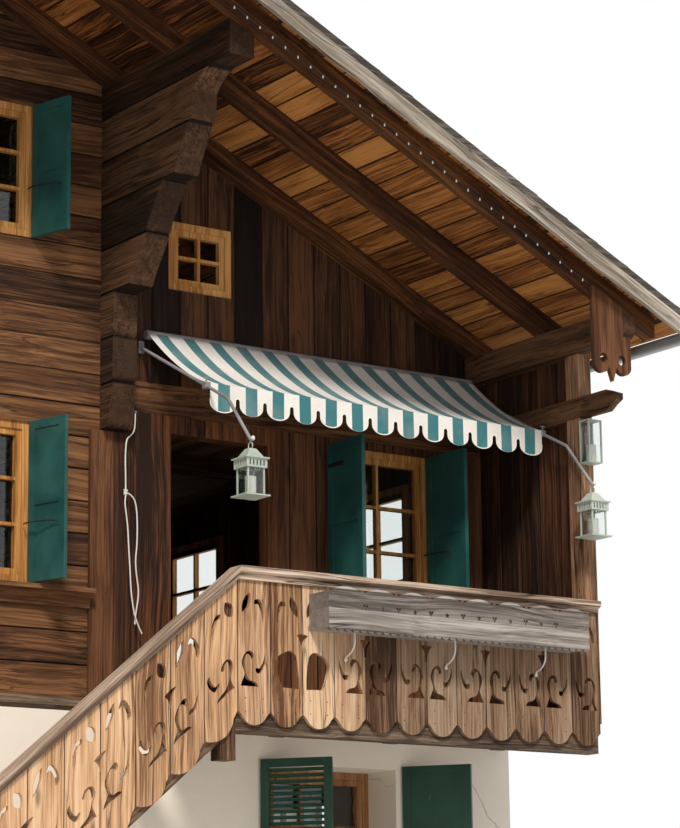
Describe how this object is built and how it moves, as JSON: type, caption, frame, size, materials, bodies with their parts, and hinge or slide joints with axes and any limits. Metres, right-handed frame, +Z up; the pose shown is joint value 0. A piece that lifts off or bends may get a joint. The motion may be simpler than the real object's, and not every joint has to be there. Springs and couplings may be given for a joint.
{
  "type": "alpine chalet",
  "caption": "Hollow alpine chalet with a rendered masonry base, squared log block, boarded side galleries with fretwork balconies, outside stair, awning and wide low roof.",
  "frame": {"origin": "on the ground, under the middle of the roof", "axes": "+X to the right along the gable front, +Y from the front into the house, +Z up"},
  "size_m": [14.2806, 12.47, 8.8567],
  "materials": {
    "masonry": "lime render, matt",
    "sill_timber": "weathered, silvery",
    "floor_timber": "planed boards",
    "log_timber": "aged dark squared logs",
    "board_timber": "aged dark boards",
    "roof_timber": "aged rafters and purlins",
    "soffit_boards": "warm aged boards",
    "roof_covering": "weathered shingles",
    "verge_timber": "silver grey waney board",
    "zinc": "dull zinc",
    "window_timber": "varnished, honey",
    "base_window_timber": "varnished, brown",
    "window_glass": "clear",
    "teal_shutter": "painted teal, satin",
    "green_shutter": "painted dark green, satin",
    "balcony_timber": "weathered golden brown boards",
    "rail_timber": "weathered pale brown",
    "stair_timber": "weathered boards",
    "flower_box_timber": "weathered grey",
    "awning_fabric": "striped canvas",
    "awning_metal": "grey",
    "lantern_metal": "pale grey green",
    "candle_wax": "pale wax",
    "cord_fibre": "braided, off white"
  },
  "bodies": {
    "root": {"base_front_wall": "masonry", "base_back_wall": "masonry", "base_side_walls": "masonry", "sill_beams": "sill_timber", "living_floor": "floor_timber", "floor_beams": "floor_timber", "lower_log_walls": "log_timber", "gable_log_walls": "log_timber", "side_log_walls": "log_timber", "room_doors": "board_timber", "corbels": "log_timber", "purlins": "roof_timber", "pendant_boards": "board_timber", "window_cornices": "board_timber", "corner_planks": "board_timber", "door_frames": "board_timber", "gallery_lintels": "board_timber", "gallery_end_boards": "board_timber", "gallery_gable_boards": "board_timber", "gallery_side_boards": "board_timber", "upper_floors": "floor_timber", "gallery_ceiling_beams": "roof_timber", "window_frames": "window_timber", "base_window_frames": "base_window_timber", "window_glass": "window_glass", "base_shutters": "green_shutter", "upper_shutters": "teal_shutter", "right_rafters": "roof_timber", "left_rafters": "roof_timber", "right_roof_boards": "soffit_boards", "left_roof_boards": "soffit_boards", "right_roof_covering": "roof_covering", "left_roof_covering": "roof_covering", "verge_boards": "verge_timber", "ridge_cap": "roof_covering", "gutters": "zinc", "balcony_floors": "stair_timber", "balcony_beams": "sill_timber", "balcony_boards": "balcony_timber", "balcony_posts": "board_timber", "wing_walls": "board_timber", "wing_beams": "roof_timber", "stair_stringers": "stair_timber", "stair_treads": "stair_timber", "stair_boards": "balcony_timber", "handrails": "rail_timber", "awning_cloth": "awning_fabric", "awning_frame": "awning_metal", "lanterns": "lantern_metal", "candles": "candle_wax", "awning_cord": "cord_fibre", "awning_cord_knot": "cord_fibre", "awning_cord_left": "cord_fibre", "awning_cord_right": "cord_fibre", "flower_box": "flower_box_timber"}
  },
  "joints": []
}
